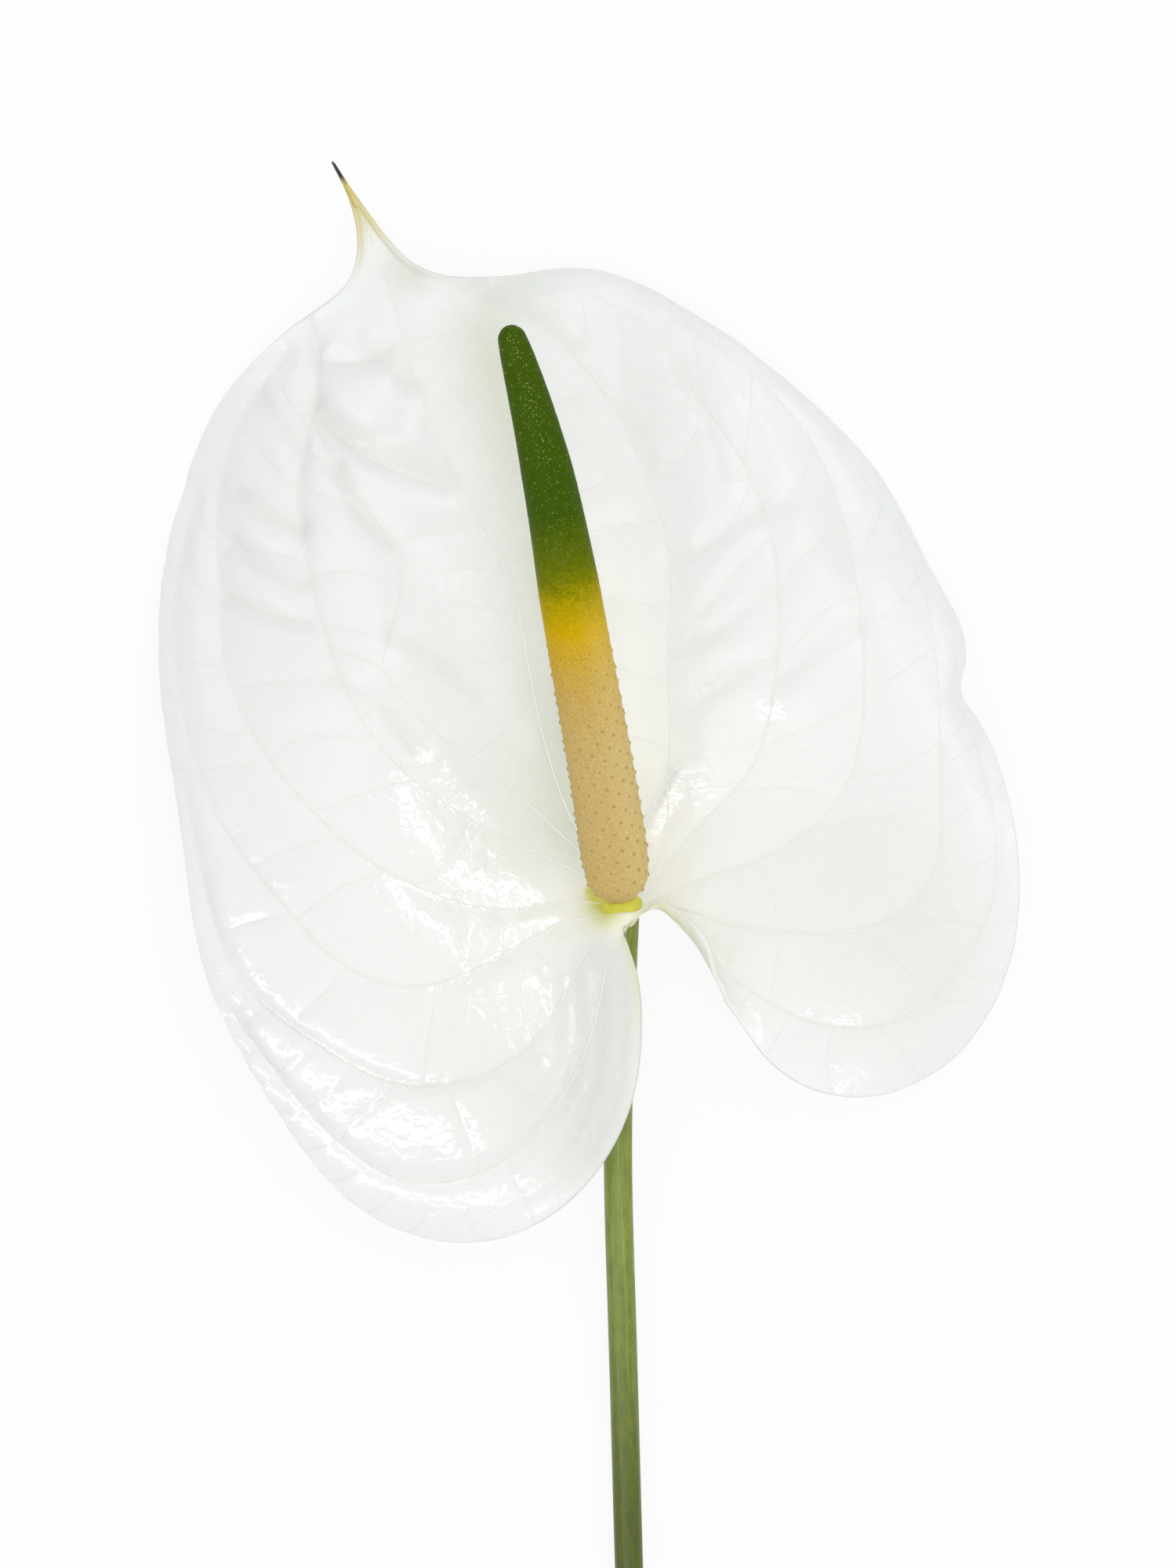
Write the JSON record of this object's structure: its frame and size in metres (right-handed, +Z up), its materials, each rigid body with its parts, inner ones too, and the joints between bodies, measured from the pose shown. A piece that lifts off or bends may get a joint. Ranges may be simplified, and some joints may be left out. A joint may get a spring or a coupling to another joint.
{
  "type": "anthurium flower",
  "caption": "Cut white anthurium lying on its back: heart-shaped spathe with a drawn-out tip, tan to green spadix on a short green collar, and a bare round stalk.",
  "frame": {"origin": "on the table, under the middle of the flower's bounding box", "axes": "+Y along the flower from the stalk's cut end to the tip of the spathe, +Z up, away from the table and out of the open face of the spathe, +X to the right lobe"},
  "size_m": [0.141, 0.3624, 0.0488],
  "materials": {
    "peduncle": "smooth satin green plant stem, mottled, with pale streaks",
    "stipe": "smooth chartreuse plant tissue",
    "spadix": "fine packed florets, tan at the base through golden yellow to leaf green at the tip",
    "spathe": "glossy waxy white leaf tissue with thin pale veins, cream at the base and yellow at the tip"
  },
  "bodies": {
    "root": {"peduncle": "peduncle", "stipe": "stipe", "spadix": "spadix", "spathe": "spathe"}
  },
  "joints": []
}
